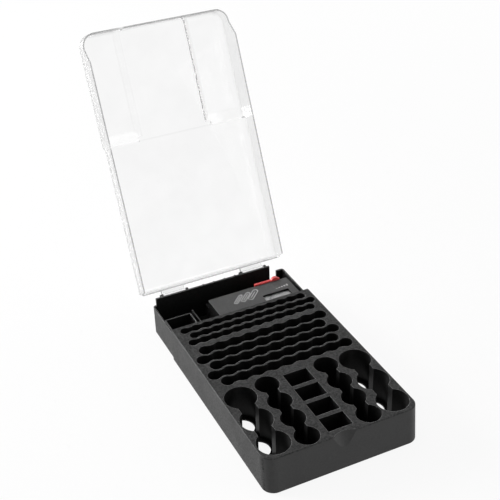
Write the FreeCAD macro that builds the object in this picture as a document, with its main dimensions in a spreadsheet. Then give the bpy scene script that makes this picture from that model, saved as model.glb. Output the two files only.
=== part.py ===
import FreeCAD, Part
import math
import os
import re
import Sketcher
from FreeCAD import Placement, Rotation, Vector

# Battery organiser: a pocketed tray, a clear hinged lid and a lift-out tester.
# The origin is the centre of the tray's underside, +Y points to the hinge and +Z up.

# Driving sizes in millimetres and degrees
SIZES = {
    # cells that the pockets hold, with the clearance round each
    "d_cell": 34.2,
    "d_clearance": 0.4,
    "c_cell": 26.2,
    "c_clearance": 0.37,
    "aa_cell": 14.5,
    "aa_clearance": 0.35,
    "aaa_cell": 10.5,
    "aaa_clearance": 0.35,
    "square_cell_width": 26.5,
    "square_cell_depth": 17.5,
    "square_side_clearance": 0.68,
    "square_end_clearance": 1.75,
    # walls between the pockets, across the tray
    "side_wall": 2.4,
    "column_web": 2.03,
    "centre_bar": 7.8,
    "bar_core_width": 5.0,
    "centre_shift": 0.7,
    "aa_margin": 4.3,
    "aa_shift": -1.1,
    "aaa_margin": 5.35,
    "aaa_shift": 2.4,
    # walls between the pockets, along the tray
    "c_front_bar": 5.0,
    "c_web": 2.66,
    "d_web": 2.9,
    "square_web": 5.2,
    "aa_strip": 3.8,
    "aa_wall": 2.16,
    "aaa_strip": 5.9,
    "aaa_wall": 2.68,
    "rear_strip": 3.6,
    "d_neck_width": 19.0,
    "c_neck_width": 13.5,
    "d_hole_rim": 4.0,
    # tray body
    "tray_height": 43.0,
    "pocket_floor": 2.0,
    "corner_radius": 13.0,
    "edge_radius": 1.2,
    "front_lean": 3.6,
    "scoop_half_width": 13.5,
    "scoop_depth": 4.6,
    "scoop_height": 16.0,
    "overrun": 1.0,
    # bay at the back of the tray
    "bay_length": 63.8,
    "bay_inset": 1.8,
    "bay_rim_drop": 7.2,
    "bay_wall": 1.6,
    "bay_corner_radius": 3.5,
    "back_wall": 2.5,
    "back_wall_rise": 2.5,
    "back_wall_left_inset": 4.3,
    "notch_width": 9.5,
    "notch_side_inset": 9.8,
    "notch_sill": 20.0,
    "nub_width": 1.5,
    "nub_height": 1.0,
    "nub_pitch": 14.0,
    "divider_wall": 1.2,
    "divider_gap": 3.4,
    "divider_length": 34.5,
    "rib_wall": 2.0,
    "rib_inset": 16.0,
    # coin cell cup
    "cup_length": 30.0,
    "cup_width": 32.4,
    "cup_wall": 1.4,
    "cup_gap": 0.3,
    "cup_corner_radius": 1.0,
    # hinge
    "hinge_reach": 10.3,
    "hinge_drop": 7.7,
    "barrel_radius": 4.5,
    "pin_radius": 1.5,
    "pin_clearance": 0.06,
    "lug_wall": 3.0,
    "lug_inner_offset": 34.3,
    "left_lug_shift": 3.6,
    "lug_web_height": 7.0,
    "tab_gap": 0.5,
    "tab_wall": 2.2,
    "heel_wall": 3.0,
    "heel_gap": 0.3,
    # lid, closed over the tray
    "lid_wall": 1.6,
    "lid_side_overhang": 4.1,
    "lid_end_overhang": 2.8,
    "lid_front_corner_radius": 16.0,
    "lid_rear_corner_radius": 2.5,
    "lid_roof_radius": 7.0,
    "lid_rim_drop": 14.0,
    "lid_rear_rise": 15.0,
    "lid_centre_rise": 18.5,
    "lid_d_rise": 24.0,
    "lid_front_rim_lift": 14.0,
    "lid_front_lift_start": 33.7,
    "lid_front_lift_run": 16.5,
    "lid_rear_rim_lift": 12.0,
    "lid_rear_lift_start": 6.0,
    "lid_rear_lift_run": 4.0,
    "lid_zone_slope": 10.0,
    "lid_zone_clear": 3.7,
    "lid_step_slope": 13.0,
    "lid_step_back": 1.8,
    "lid_open_angle": 114.7,
    # tester case
    "tester_length": 104.0,
    "tester_depth": 36.0,
    "tester_height": 26.0,
    "tester_drop": 3.0,
    "tester_side_gap": 6.7,
    "tester_front_gap": 1.8,
    "tester_wall": 1.8,
    "tester_top": 2.0,
    "tester_corner_radius": 2.0,
    "parting_height": 16.0,
    # screws that hold the tester's two shells together
    "post_radius": 3.4,
    "post_inset": 4.7,
    "post_gap": 0.3,
    "rear_post_inset": 5.6,
    "rear_left_post_offset": 14.0,
    "screw_head_radius": 2.2,
    "screw_head_height": 1.8,
    "screw_head_clearance": 0.2,
    "screw_core_radius": 1.0,
    "screw_hole_clearance": 0.3,
    "screw_seat_height": 8.0,
    "screw_bite": 6.0,
    # gauge window and dial
    "window_length": 34.0,
    "window_depth": 11.0,
    "window_front": 3.0,
    "window_right": 9.0,
    "window_thickness": 0.8,
    "window_lap": 1.0,
    "dial_drop": 4.1,
    "dial_thickness": 0.5,
    "dial_hole_radius": 1.2,
    # gauge movement
    "pivot_behind_window": 6.0,
    "needle_length": 15.5,
    "needle_tail": 4.0,
    "needle_width": 0.7,
    "needle_thickness": 0.3,
    "needle_lift": 0.5,
    "hub_radius": 1.4,
    "needle_rest_angle": 40.0,
    "shaft_radius": 0.6,
    "shaft_clearance": 0.05,
    "yoke_radius": 8.0,
    "yoke_wall": 1.6,
    "yoke_base": 1.5,
    "magnet_radius": 3.6,
    "magnet_height": 8.3,
    "coil_gap": 0.6,
    "coil_wall": 0.9,
    "coil_web": 0.6,
    "coil_foot_gap": 1.3,
    "coil_head_gap": 1.2,
    "bridge_width": 4.0,
    "bridge_thickness": 1.2,
    # circuit board
    "board_thickness": 1.6,
    "board_post_height": 2.6,
    "board_post_radius": 1.5,
    "board_post_inset": 3.0,
    "board_left_inset": 18.0,
    "board_right_inset": 9.5,
    "board_front_inset": 5.0,
    "board_rear_inset": 4.6,
    "resistor_radius": 1.6,
    "resistor_length": 8.0,
    "resistor_pitch": 6.0,
    "resistor_inset": 9.0,
    # slide arm and contacts
    "arm_length": 33.0,
    "arm_right_inset": 9.0,
    "arm_thickness": 3.0,
    "arm_gap": 0.3,
    "arm_rise": 1.5,
    "arm_drop": 12.0,
    "thumb_radius": 5.8,
    "thumb_rise": 3.9,
    "thumb_thickness": 3.6,
    "paddle_reach": 9.0,
    "paddle_wall": 3.0,
    "paddle_drop": 24.0,
    "paddle_top_drop": 7.0,
    "slot_height": 3.0,
    "flange_height": 8.2,
    "flange_thickness": 2.3,
    "flange_inset": 2.0,
    "tongue_inset": 4.0,
    "arm_travel": 22.0,
    "contact_thickness": 0.6,
    "contact_inset": 2.0,
    "brush_length": 8.0,
    "rail_gap": 0.05,
    "rail_height": 13.8,
    "leg_height": 3.8,
    "leg_reach": 10.6,
    "leg_foot_length": 19.0,
    "lug_top_drop": 10.5,
    "square_contact_radius": 3.0,
    "square_contact_pitch": 12.7,
    "square_contact_height": 10.0,
    "square_contact_stem": 1.0,
    "square_contact_stem_length": 4.0,
}

# How many of each pocket and of each repeated piece there are
D_ROWS = 3
C_ROWS = 4
SQUARE_ROWS = 4
AA_ROWS = 5
AA_COLUMNS = 9
AAA_ROWS = 3
AAA_COLUMNS = 12
NUBS = 4
RESISTORS = 3

# Places and sizes that follow from the driving sizes
LAYOUT = [
    # across the tray, from its middle
    ("d_radius", "d_cell / 2 + d_clearance"),
    ("c_radius", "c_cell / 2 + c_clearance"),
    ("aa_radius", "aa_cell / 2 + aa_clearance"),
    ("aaa_radius", "aaa_cell / 2 + aaa_clearance"),
    ("square_half_width", "square_cell_width / 2 + square_side_clearance"),
    ("square_half_depth", "square_cell_depth / 2 + square_end_clearance"),
    ("c_column", "square_half_width + centre_bar + c_radius"),
    ("d_column", "c_column + c_radius + column_web + d_radius"),
    ("half_width", "d_column + d_radius + side_wall"),
    ("centre_bank_left", "centre_shift / 2 + d_radius + column_web / 2 - d_column"),
    ("centre_bank_right", "centre_shift / 2 + d_column - d_radius - column_web / 2"),
    # along the tray, from its front face
    ("c_pitch", "2 * c_radius + c_web"),
    ("d_pitch", "2 * d_radius + d_web"),
    ("square_pitch", "2 * square_half_depth + square_web"),
    ("c_run", f"{C_ROWS} * c_pitch - c_web"),
    ("bank_middle", "c_front_bar + c_run / 2"),
    ("bank_end", "c_front_bar + c_run"),
    ("aa_pitch", f"(2 * half_width - 2 * aa_margin - 2 * aa_radius) / ({AA_COLUMNS} - 1 / 2)"),
    ("aa_row_pitch", "sqrt((2 * aa_radius + aa_wall) ^ 2 - (aa_pitch / 2) ^ 2)"),
    ("aa_start", "bank_end + aa_strip"),
    ("aa_end", f"aa_start + 2 * aa_radius + {AA_ROWS - 1} * aa_row_pitch"),
    ("aaa_pitch", f"(2 * half_width - 2 * aaa_margin - 2 * aaa_radius) / ({AAA_COLUMNS} - 1 / 2)"),
    ("aaa_row_pitch", "sqrt((2 * aaa_radius + aaa_wall) ^ 2 - (aaa_pitch / 2) ^ 2)"),
    ("aaa_start", "aa_end + aaa_strip"),
    ("aaa_end", f"aaa_start + 2 * aaa_radius + {AAA_ROWS - 1} * aaa_row_pitch"),
    ("deck_length", "aaa_end + rear_strip"),
    ("tray_length", "deck_length + bay_length"),
    # the same places in the part's own frame
    ("front", "0 - tray_length / 2"),
    ("rear", "tray_length / 2"),
    ("bank_middle_y", "front + bank_middle"),
    ("aa_split", "front + bank_end + aa_strip / 2"),
    ("aaa_split", "front + aa_end + aaa_strip / 2"),
    ("bay_split", "front + deck_length"),
    # bay
    ("bay_half_width", "half_width - bay_inset"),
    ("bay_inner", "bay_half_width - bay_wall"),
    ("bay_rim", "tray_height - bay_rim_drop"),
    ("back_face", "rear - back_wall"),
    ("back_top", "tray_height + back_wall_rise"),
    ("notch_right", "bay_half_width - notch_side_inset"),
    ("notch_left", "notch_right - notch_width"),
    ("cup_left", "cup_gap - bay_inner"),
    ("cup_right", "cup_left + cup_width"),
    ("cup_front", "bay_split + cup_gap"),
    ("divider_left", "cup_right + divider_gap"),
    # hinge
    ("hinge_y", "rear + hinge_reach"),
    ("hinge_z", "tray_height - hinge_drop"),
    ("lug_outer", "notch_left + lug_wall / 3"),
    ("lug_inner", "lug_inner_offset - lug_wall / 2"),
    ("left_lug_outer", "lug_outer + left_lug_shift"),
    ("left_lug_inner", "lug_inner + left_lug_shift"),
    # lid, closed
    ("lid_half_width", "half_width + lid_side_overhang"),
    ("lid_half_length", "tray_length / 2 + lid_end_overhang"),
    ("lid_rim", "tray_height - lid_rim_drop"),
    ("lid_rear_roof", "tray_height + lid_rear_rise"),
    ("lid_centre_roof", "tray_height + lid_centre_rise"),
    ("lid_d_roof", "tray_height + lid_d_rise"),
    ("lid_zone_high", "d_column - d_radius - lid_zone_clear"),
    ("lid_zone_low", "lid_zone_high - lid_zone_slope"),
    ("lid_step_high", "front + bank_end - lid_step_back"),
    ("lid_step_low", "lid_step_high + lid_step_slope"),
    # tester case
    ("tester_right", "bay_inner - tester_side_gap"),
    ("tester_left", "tester_right - tester_length"),
    ("tester_front", "bay_split + tester_front_gap"),
    ("tester_rear", "tester_front + tester_depth"),
    ("tester_roof", "tray_height - tester_drop"),
    ("tester_base", "tester_roof - tester_height"),
    ("parting", "tester_base + parting_height"),
    ("tester_ceiling", "tester_roof - tester_top"),
    ("tester_floor", "tester_base + tester_wall"),
    ("left_post_x", "tester_left + post_inset"),
    ("front_post_y", "tester_front + post_inset"),
    ("rear_post_y", "tester_rear - rear_post_inset"),
    ("rear_left_post_x", "tester_left + rear_left_post_offset"),
    ("screw_seat", "tester_base + screw_seat_height"),
    ("screw_tip", "parting + screw_bite"),
    ("screw_hole_radius", "screw_core_radius + screw_hole_clearance"),
    # gauge
    ("window_high_x", "tester_right - window_right"),
    ("window_low_x", "window_high_x - window_length"),
    ("right_post_x", "window_high_x + window_lap + post_gap + post_radius"),
    ("window_low_y", "tester_front + window_front"),
    ("window_high_y", "window_low_y + window_depth"),
    ("gauge_x", "(window_low_x + window_high_x) / 2"),
    ("gauge_y", "window_high_y + pivot_behind_window"),
    ("dial_top", "tester_roof - dial_drop"),
    ("dial_base", "dial_top - dial_thickness"),
    ("needle_base", "dial_top + needle_lift"),
    ("needle_top", "needle_base + needle_thickness"),
    ("bridge_base", "dial_base - bridge_thickness"),
    # circuit board
    ("board_base", "tester_floor + board_post_height"),
    ("board_top", "board_base + board_thickness"),
    ("board_left", "tester_left + board_left_inset"),
    ("board_right", "tester_right - board_right_inset"),
    ("board_front", "tester_front + board_front_inset"),
    ("board_rear", "tester_rear - board_rear_inset"),
    ("magnet_base", "board_top + yoke_base"),
    ("magnet_top", "magnet_base + magnet_height"),
    ("coil_inner", "magnet_radius + coil_gap"),
    ("coil_outer", "coil_inner + coil_wall"),
    ("coil_top", "magnet_top + coil_head_gap"),
    ("bridge_bore", "shaft_radius + shaft_clearance"),
    # slide arm
    ("inner_rear", "tester_rear - tester_wall"),
    ("arm_right", "tester_right - arm_right_inset"),
    ("arm_left", "arm_right - arm_length"),
    ("arm_front", "tester_rear + arm_gap"),
    ("arm_rear", "arm_front + arm_thickness"),
    ("arm_top", "tester_roof + arm_rise"),
    ("paddle_rear", "tester_rear + paddle_reach"),
    ("paddle_top", "tester_roof - paddle_top_drop"),
    ("paddle_base", "tester_roof - paddle_drop"),
    ("slot_top", "parting + slot_height"),
    ("tongue_base", "parting + arm_gap"),
    ("tongue_top", "slot_top - arm_gap"),
    ("tongue_left", "arm_left + tongue_inset"),
    ("tongue_right", "arm_right - tongue_inset"),
    ("flange_rear", "inner_rear - arm_gap"),
    ("flange_front", "flange_rear - flange_thickness"),
    ("flange_middle", "(slot_top + parting) / 2"),
    ("contact_left", "arm_left - contact_thickness"),
    ("brush_front", "flange_front - contact_thickness"),
    ("rail_rear", "brush_front - rail_gap"),
    ("fixed_contact_x", "tester_left + paddle_wall"),
    ("fixed_contact_right", "fixed_contact_x + contact_thickness"),
    ("lug_top", "tester_roof - lug_top_drop"),
    ("leg_front", "tester_rear - leg_reach"),
    ("square_contact_z", "tester_base + square_contact_height"),
    ("square_contact_middle", "(tester_front + tester_rear) / 2"),
]

doc = FreeCAD.newDocument("battery_storage_case")
sheet = doc.addObject("Spreadsheet::Sheet", "sizes")
layout = doc.addObject("App::VarSet", "layout")
DERIVED = [name for name, formula in LAYOUT]


def bound(formula):
    """Write the sheet's or the layout's name before each size named in a formula."""
    def full_name(match):
        word = match.group(0)
        if word in SIZES:
            return "sizes." + word
        if word in DERIVED:
            return "layout." + word
        return word
    return re.sub(r"[a-z_]+\w*", full_name, str(formula))


def value(formula):
    return float(sheet.evalExpression(bound(formula)))


for row, (size_name, size) in enumerate(SIZES.items(), start=1):
    sheet.set(f"A{row}", size_name)
    sheet.set(f"B{row}", str(size))
    sheet.setAlias(f"B{row}", size_name)
doc.recompute()
for name, formula in LAYOUT:
    layout.addProperty("App::PropertyFloat", name, "layout")
    layout.setExpression(name, bound(formula))
doc.recompute()


def box(name, x, y, z):
    """A block between a low and a high formula along each axis."""
    block = doc.addObject("Part::Box", name)
    for side, axis, (low, high) in zip(("Length", "Width", "Height"), "xyz", (x, y, z)):
        block.setExpression(side, bound(f"({high}) - ({low})"))
        block.setExpression(f"Placement.Base.{axis}", bound(low))
    return block


def round_bar(name, radius, x, y, z):
    """A cylinder along the one axis that gives a low and a high formula."""
    bar = doc.addObject("Part::Cylinder", name)
    bar.setExpression("Radius", bound(radius))
    for axis, place in zip("xyz", (x, y, z)):
        if isinstance(place, tuple):
            low, high = place
            bar.setExpression("Height", bound(f"({high}) - ({low})"))
            bar.setExpression(f"Placement.Base.{axis}", bound(low))
            way = Vector(*(float(axis == each) for each in "xyz"))
            bar.Placement.Rotation = Rotation(Vector(0, 0, 1), way)
        else:
            bar.setExpression(f"Placement.Base.{axis}", bound(place))
    return bar


def fuse(name, shapes):
    joined = doc.addObject("Part::MultiFuse", name)
    joined.Shapes = shapes
    return joined


def common(name, first, second):
    shared = doc.addObject("Part::MultiCommon", name)
    shared.Shapes = [first, second]
    return shared


def cut(name, base, tools):
    left = doc.addObject("Part::Cut", name)
    left.Base = base
    left.Tool = tools[0] if len(tools) == 1 else fuse(name + "_tools", tools)
    return left


def feature(name, shape):
    solid = doc.addObject("Part::Feature", name)
    solid.Shape = shape
    return solid


def origin_plane(body, role):
    return next(plane for plane in body.Origin.OriginFeatures if plane.Role == role)


def rectangle_sketch(body, name, x, y, height):
    """A rectangle between low and high formulas, on a plane at the given height."""
    sketch = body.newObject("Sketcher::SketchObject", name)
    sketch.AttachmentSupport = (origin_plane(body, "XY_Plane"), [""])
    sketch.MapMode = "FlatFace"
    sketch.setExpression("AttachmentOffset.Base.z", bound(height))
    (left, right), (low, high) = [[value(end) for end in side] for side in (x, y)]
    corners = [Vector(left, low), Vector(right, low), Vector(right, high), Vector(left, high)]
    for start, end in zip(corners, corners[1:] + corners[:1]):
        sketch.addGeometry(Part.LineSegment(start, end), False)
    for line in range(4):
        sketch.addConstraint(Sketcher.Constraint("Coincident", line, 2, (line + 1) % 4, 1))
        sketch.addConstraint(Sketcher.Constraint("Horizontal" if line % 2 == 0 else "Vertical", line))
    for kind, point, formula in (
        ("DistanceX", (0, 1), x[0]),
        ("DistanceX", (1, 2), x[1]),
        ("DistanceY", (0, 1), y[0]),
        ("DistanceY", (1, 2), y[1]),
    ):
        index = sketch.addConstraint(Sketcher.Constraint(kind, -1, 1, point[0], point[1], value(formula)))
        sketch.setExpression(f"Constraints[{index}]", bound(formula))
    return sketch


def circle_sketch(body, name, x, y, radius, height):
    sketch = body.newObject("Sketcher::SketchObject", name)
    sketch.AttachmentSupport = (origin_plane(body, "XY_Plane"), [""])
    sketch.MapMode = "FlatFace"
    sketch.setExpression("AttachmentOffset.Base.z", bound(height))
    sketch.addGeometry(Part.Circle(Vector(value(x), value(y)), Vector(0, 0, 1), value(radius)), False)
    for constraint, formula in (
        (Sketcher.Constraint("Radius", 0, value(radius)), radius),
        (Sketcher.Constraint("DistanceX", -1, 1, 0, 3, value(x)), x),
        (Sketcher.Constraint("DistanceY", -1, 1, 0, 3, value(y)), y),
    ):
        index = sketch.addConstraint(constraint)
        sketch.setExpression(f"Constraints[{index}]", bound(formula))
    return sketch


def pad(body, sketch, height):
    raised = body.newObject("PartDesign::Pad", sketch.Name + "_pad")
    raised.Profile = sketch
    raised.setExpression("Length", bound(height))
    doc.recompute()
    return raised


def pocket(body, sketch, depth):
    """A pocket cut downwards from its sketch, checked to have removed material."""
    before = body.Shape.Volume
    hollow = body.newObject("PartDesign::Pocket", sketch.Name + "_pocket")
    hollow.Profile = sketch
    hollow.setExpression("Length", bound(depth))
    doc.recompute()
    assert body.Shape.Volume < before, f"{sketch.Name} cut nothing"
    return hollow


def round_edges(body, name, base, radius, chosen):
    """A fillet of the base's edges that the chosen test accepts."""
    fillet = body.newObject("PartDesign::Fillet", name)
    names = [f"Edge{i}" for i, edge in enumerate(base.Shape.Edges, start=1) if chosen(edge.BoundBox)]
    fillet.Base = (base, names)
    fillet.setExpression("Radius", bound(radius))
    doc.recompute()
    return fillet


def near(first, second):
    return abs(first - second) < value("edge_radius") / 100


def upright_between(low, high):
    """Tests for an upright edge that stands between two places along the tray."""
    margin = value("edge_radius")
    return lambda limits: (
        limits.ZLength > margin and limits.YMin > low - margin and limits.YMax < high + margin
    )


# Tray: one moulding, held as six nodes that meet at flat faces

def deck_form():
    """The outside of the pocketed part, before its pockets."""
    body = doc.addObject("PartDesign::Body", "deck_form")
    outline = rectangle_sketch(
        body, "deck_outline", ("0 - half_width", "half_width"), ("front", "bay_split"), "0"
    )
    block = pad(body, outline, "tray_height")
    front, back = value("front"), value("bay_split")
    lean = body.newObject("PartDesign::Draft", "deck_front_lean")
    faces = enumerate(block.Shape.Faces, start=1)
    lean.Base = (block, [f"Face{i}" for i, face in faces if near(face.BoundBox.YMax, front)])
    lean.NeutralPlane = (origin_plane(body, "XY_Plane"), [""])
    lean.setExpression("Angle", bound("atan(front_lean / tray_height)"))
    doc.recompute()
    corners = upright_between(front, front + value("front_lean"))
    rounded = round_edges(body, "deck_corners", lean, "corner_radius", corners)
    round_edges(
        body, "deck_edges", rounded, "edge_radius",
        lambda limits: limits.ZLength < value("edge_radius") and not near(limits.YMin, back),
    )
    return body


def row_of_bores(name, radius, x, rows, pitch, low, high):
    """Upright bores in a line along the tray, centred on the middle of the bank."""
    return [
        round_bar(
            f"{name}_{row}", radius, x,
            f"bank_middle_y + ({row} - {rows - 1} / 2) * {pitch}", (low, high),
        )
        for row in range(rows)
    ]


def neck(name, x, width, rows, pitch):
    """The straight way that joins the round pockets of a column."""
    reach = f"{rows - 1} / 2 * {pitch}"
    return box(
        name, (f"{x} - {width} / 2", f"{x} + {width} / 2"),
        (f"bank_middle_y - {reach}", f"bank_middle_y + {reach}"),
        ("pocket_floor", "tray_height + overrun"),
    )


def scalloped_row(name, columns, pitch, radius, wall, row_pitch, x, y):
    """One row of joined round pockets whose walls wave between the rows beside it."""
    step, size, gap, rise = value(pitch), value(radius), value(wall), value(row_pitch)
    middle_x, middle_y = value(x), value(y)
    lean = math.atan2(step / 2, rise)
    side = size * math.sin(lean)
    lift = size * math.cos(lean)
    crest = rise - size - gap
    centres = [middle_x + (column - (columns - 1) / 2) * step for column in range(columns)]
    edges = []
    for way in (1, -1):
        for index, centre in enumerate(centres):
            if 0 < index < columns - 1:
                edges.append(Part.Arc(
                    Vector(centre - side, middle_y + way * lift),
                    Vector(centre, middle_y + way * size),
                    Vector(centre + side, middle_y + way * lift),
                ))
            if index < columns - 1:
                edges.append(Part.Arc(
                    Vector(centre + side, middle_y + way * lift),
                    Vector(centre + step / 2, middle_y + way * crest),
                    Vector(centre + step - side, middle_y + way * lift),
                ))
    for centre, way in ((centres[0], -1), (centres[-1], 1)):
        edges.append(Part.Arc(
            Vector(centre - way * side, middle_y + lift),
            Vector(centre + way * size, middle_y),
            Vector(centre - way * side, middle_y - lift),
        ))
    outline = Part.Wire(Part.__sortEdges__([edge.toShape() for edge in edges]))
    floor, top = value("pocket_floor"), value("tray_height + overrun")
    slot = Part.Face(outline).extrude(Vector(0, 0, top - floor))
    slot.translate(Vector(0, 0, floor))
    return feature(name, slot)


def bank(name, deck, x, y, cutters):
    """The part of the deck between two planes each way, with its pockets cut."""
    block = box(name + "_limits", x, y, ("0 - overrun", "tray_height + overrun"))
    return cut(name, common(name + "_block", deck, block), cutters)


def d_bank(side, sign, deck):
    name = f"tray_d_bank_{side}"
    column = f"{sign} * d_column"
    cutters = row_of_bores(
        name + "_bore", "d_radius", column, D_ROWS, "d_pitch", "pocket_floor", "tray_height + overrun"
    )
    cutters += row_of_bores(
        name + "_hole", "d_radius - d_hole_rim", column, D_ROWS, "d_pitch", "0 - overrun",
        "pocket_floor + overrun",
    )
    cutters.append(neck(name + "_neck", column, "d_neck_width", D_ROWS, "d_pitch"))
    limits = sorted((f"centre_bank_{side}", f"{sign} * (half_width + overrun)"), key=value)
    return bank(name, deck, limits, ("front - overrun", "aa_split"), cutters)


def centre_bank(deck):
    name = "tray_c_and_square_bank"
    cutters = []
    for side, sign in (("left", -1), ("right", 1)):
        column = f"(centre_shift + {sign} * c_column)"
        cutters += row_of_bores(
            f"c_{side}_bore", "c_radius", column, C_ROWS, "c_pitch", "pocket_floor", "tray_height + overrun"
        )
        cutters.append(neck(f"c_{side}_neck", column, "c_neck_width", C_ROWS, "c_pitch"))
        core = f"centre_shift + {sign} * (square_half_width + centre_bar / 2)"
        cutters.append(box(
            f"bar_core_{side}", (f"{core} - bar_core_width / 2", f"{core} + bar_core_width / 2"),
            ("bank_middle_y - c_run / 2 + centre_bar", "bank_middle_y + c_run / 2 - centre_bar"),
            ("0 - overrun", "tray_height - pocket_floor"),
        ))
    for row in range(SQUARE_ROWS):
        middle = f"bank_middle_y + ({row} - {SQUARE_ROWS - 1} / 2) * square_pitch"
        cutters.append(box(
            f"square_pocket_{row}", ("centre_shift - square_half_width", "centre_shift + square_half_width"),
            (f"{middle} - square_half_depth", f"{middle} + square_half_depth"),
            ("pocket_floor", "tray_height + overrun"),
        ))
    cutters.append(finger_scoop())
    limits = ("centre_bank_left", "centre_bank_right")
    return bank(name, deck, limits, ("front - overrun", "aa_split"), cutters)


def finger_scoop():
    """A cone that bites into the deck's front edge and runs out on the leaning face below."""
    radius = "((scoop_half_width ^ 2 + scoop_depth ^ 2) / (2 * scoop_depth))"
    scoop = doc.addObject("Part::Cone", "finger_scoop")
    scoop.setExpression("Radius1", bound(f"{radius} - scoop_depth - front_lean * scoop_height / tray_height"))
    scoop.setExpression("Radius2", bound(radius))
    scoop.setExpression("Height", bound("scoop_height"))
    scoop.setExpression("Placement.Base.y", bound(f"front + front_lean + scoop_depth - {radius}"))
    scoop.setExpression("Placement.Base.z", bound("tray_height - scoop_height"))
    return scoop


def small_cell_bank(deck, y, cell, rows, columns, first_way):
    """Rows of scalloped pockets, each row half a pitch aside from the last."""
    cutters = [
        scalloped_row(
            f"{cell}_row_{row}", columns, f"{cell}_pitch", f"{cell}_radius", f"{cell}_wall",
            f"{cell}_row_pitch", f"{cell}_shift + {first_way * (-1) ** row} * {cell}_pitch / 4",
            f"front + {cell}_start + {cell}_radius + {row} * {cell}_row_pitch",
        )
        for row in range(rows)
    ]
    return bank(f"tray_{cell}_bank", deck, ("0 - half_width - overrun", "half_width + overrun"), y, cutters)


def bay_form():
    """Floor and low side walls of the bay."""
    body = doc.addObject("PartDesign::Body", "bay_form")
    outline = rectangle_sketch(
        body, "bay_outline", ("0 - bay_half_width", "bay_half_width"), ("bay_split", "rear"), "0"
    )
    block = pad(body, outline, "bay_rim")
    rear = value("rear")
    round_edges(body, "bay_corners", block, "bay_corner_radius", upright_between(rear, rear))
    inside = rectangle_sketch(
        body, "bay_inside", ("0 - bay_inner", "bay_inner"), ("bay_split", "back_face"), "bay_rim"
    )
    pocket(body, inside, "bay_rim - pocket_floor")
    return body


def hinge_lug(name, low, high):
    barrel = round_bar(name + "_barrel", "barrel_radius", (low, high), "hinge_y", "hinge_z")
    foot = "hinge_z - barrel_radius"
    web = box(name + "_web", (low, high), ("rear", "hinge_y"), (foot, f"{foot} + lug_web_height"))
    return [barrel, web]


def back_wall():
    """The raised part of the bay's back wall, with nubs along its top."""
    pieces = [box(
        "back_wall_riser", ("back_wall_left_inset - bay_half_width", "notch_left"),
        ("back_face", "rear"), ("pocket_floor", "back_top"),
    )]
    for nub in range(NUBS):
        middle = f"({nub} - {NUBS - 1} / 2) * nub_pitch"
        pieces.append(box(
            f"back_wall_nub_{nub}", (f"{middle} - nub_width / 2", f"{middle} + nub_width / 2"),
            ("back_face", "rear"), ("back_top", "back_top + nub_height"),
        ))
    return pieces


def bay_ribs():
    """The divider beside the cup, and the ribs that the tester stands on."""
    ribs = [box(
        "divider", ("divider_left", "divider_left + divider_wall"),
        ("bay_split", "bay_split + divider_length"), ("pocket_floor", "bay_rim"),
    )]
    for side, middle in (("left", "tester_left + rib_inset"), ("right", "tester_right - rib_inset")):
        ribs.append(box(
            f"tester_rib_{side}", (f"{middle} - rib_wall / 2", f"{middle} + rib_wall / 2"),
            ("bay_split", "tester_rear"), ("pocket_floor", "tester_base"),
        ))
    return ribs


def tester_bay():
    notch = box(
        "notch", ("notch_left", "notch_right"), ("back_face - overrun", "rear + overrun"),
        ("notch_sill", "back_top + overrun"),
    )
    shell = cut("bay_shell", fuse("bay_walls", [bay_form()] + back_wall() + bay_ribs()), [notch])
    lugs = []
    for name, low, high in (
        ("left_outer", "0 - left_lug_outer", "lug_wall - left_lug_outer"),
        ("left_inner", "0 - left_lug_inner - lug_wall", "0 - left_lug_inner"),
        ("right_inner", "lug_inner", "lug_inner + lug_wall"),
        ("right_outer", "lug_outer - lug_wall", "lug_outer"),
    ):
        lugs += hinge_lug(f"lug_{name}", low, high)
    bore_x = ("0 - left_lug_outer - overrun", "lug_outer + overrun")
    bore = round_bar("lug_bore", "pin_radius", bore_x, "hinge_y", "hinge_z")
    return cut("tray_tester_bay", fuse("bay_with_lugs", [shell] + lugs), [bore])


def coin_cell_cup():
    """A lift-out cup for coin cells that stands on the bay's floor."""
    body = doc.addObject("PartDesign::Body", "coin_cell_cup")
    x, y = ("cup_left", "cup_right"), ("cup_front", "cup_front + cup_length")
    block = pad(body, rectangle_sketch(body, "cup_outline", x, y, "pocket_floor"), "bay_rim - pocket_floor")
    round_edges(
        body, "cup_corners", block, "cup_corner_radius",
        lambda limits: limits.ZLength > value("bay_rim") / 2,
    )
    inner_x, inner_y = [(f"{low} + cup_wall", f"{high} - cup_wall") for low, high in (x, y)]
    inside = rectangle_sketch(body, "cup_inside", inner_x, inner_y, "bay_rim")
    pocket(body, inside, "bay_rim - pocket_floor - cup_wall")
    return body


def hinge_pins():
    """One steel pin through each pair of lugs."""
    left_x = ("0 - left_lug_outer", "0 - left_lug_inner")
    return fuse("hinge_pins", [
        round_bar("hinge_pin_left", "pin_radius", left_x, "hinge_y", "hinge_z"),
        round_bar("hinge_pin_right", "pin_radius", ("lug_inner", "lug_outer"), "hinge_y", "hinge_z"),
    ])


# Lid: its outside and its hollow are the same form at two insets

def rounded_block(inset, base, roof):
    """A block with round upright corners, tighter at the hinge, and a rounded roof edge."""
    half_x, half_y = value("lid_half_width") - inset, value("lid_half_length") - inset
    block = Part.makeBox(2 * half_x, 2 * half_y, roof - base, Vector(-half_x, -half_y, base))
    front = [line for line in block.Edges if upright_between(-half_y, -half_y)(line.BoundBox)]
    block = block.makeFillet(value("lid_front_corner_radius") - inset, front)
    rear = [line for line in block.Edges if upright_between(half_y, half_y)(line.BoundBox)]
    squared = block.makeFillet(value("lid_rear_corner_radius") - inset, rear)
    top = [line for line in block.Edges if near(line.BoundBox.ZMin, roof)]
    return block.makeFillet(value("lid_roof_radius") - inset, top).common(squared)


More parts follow.
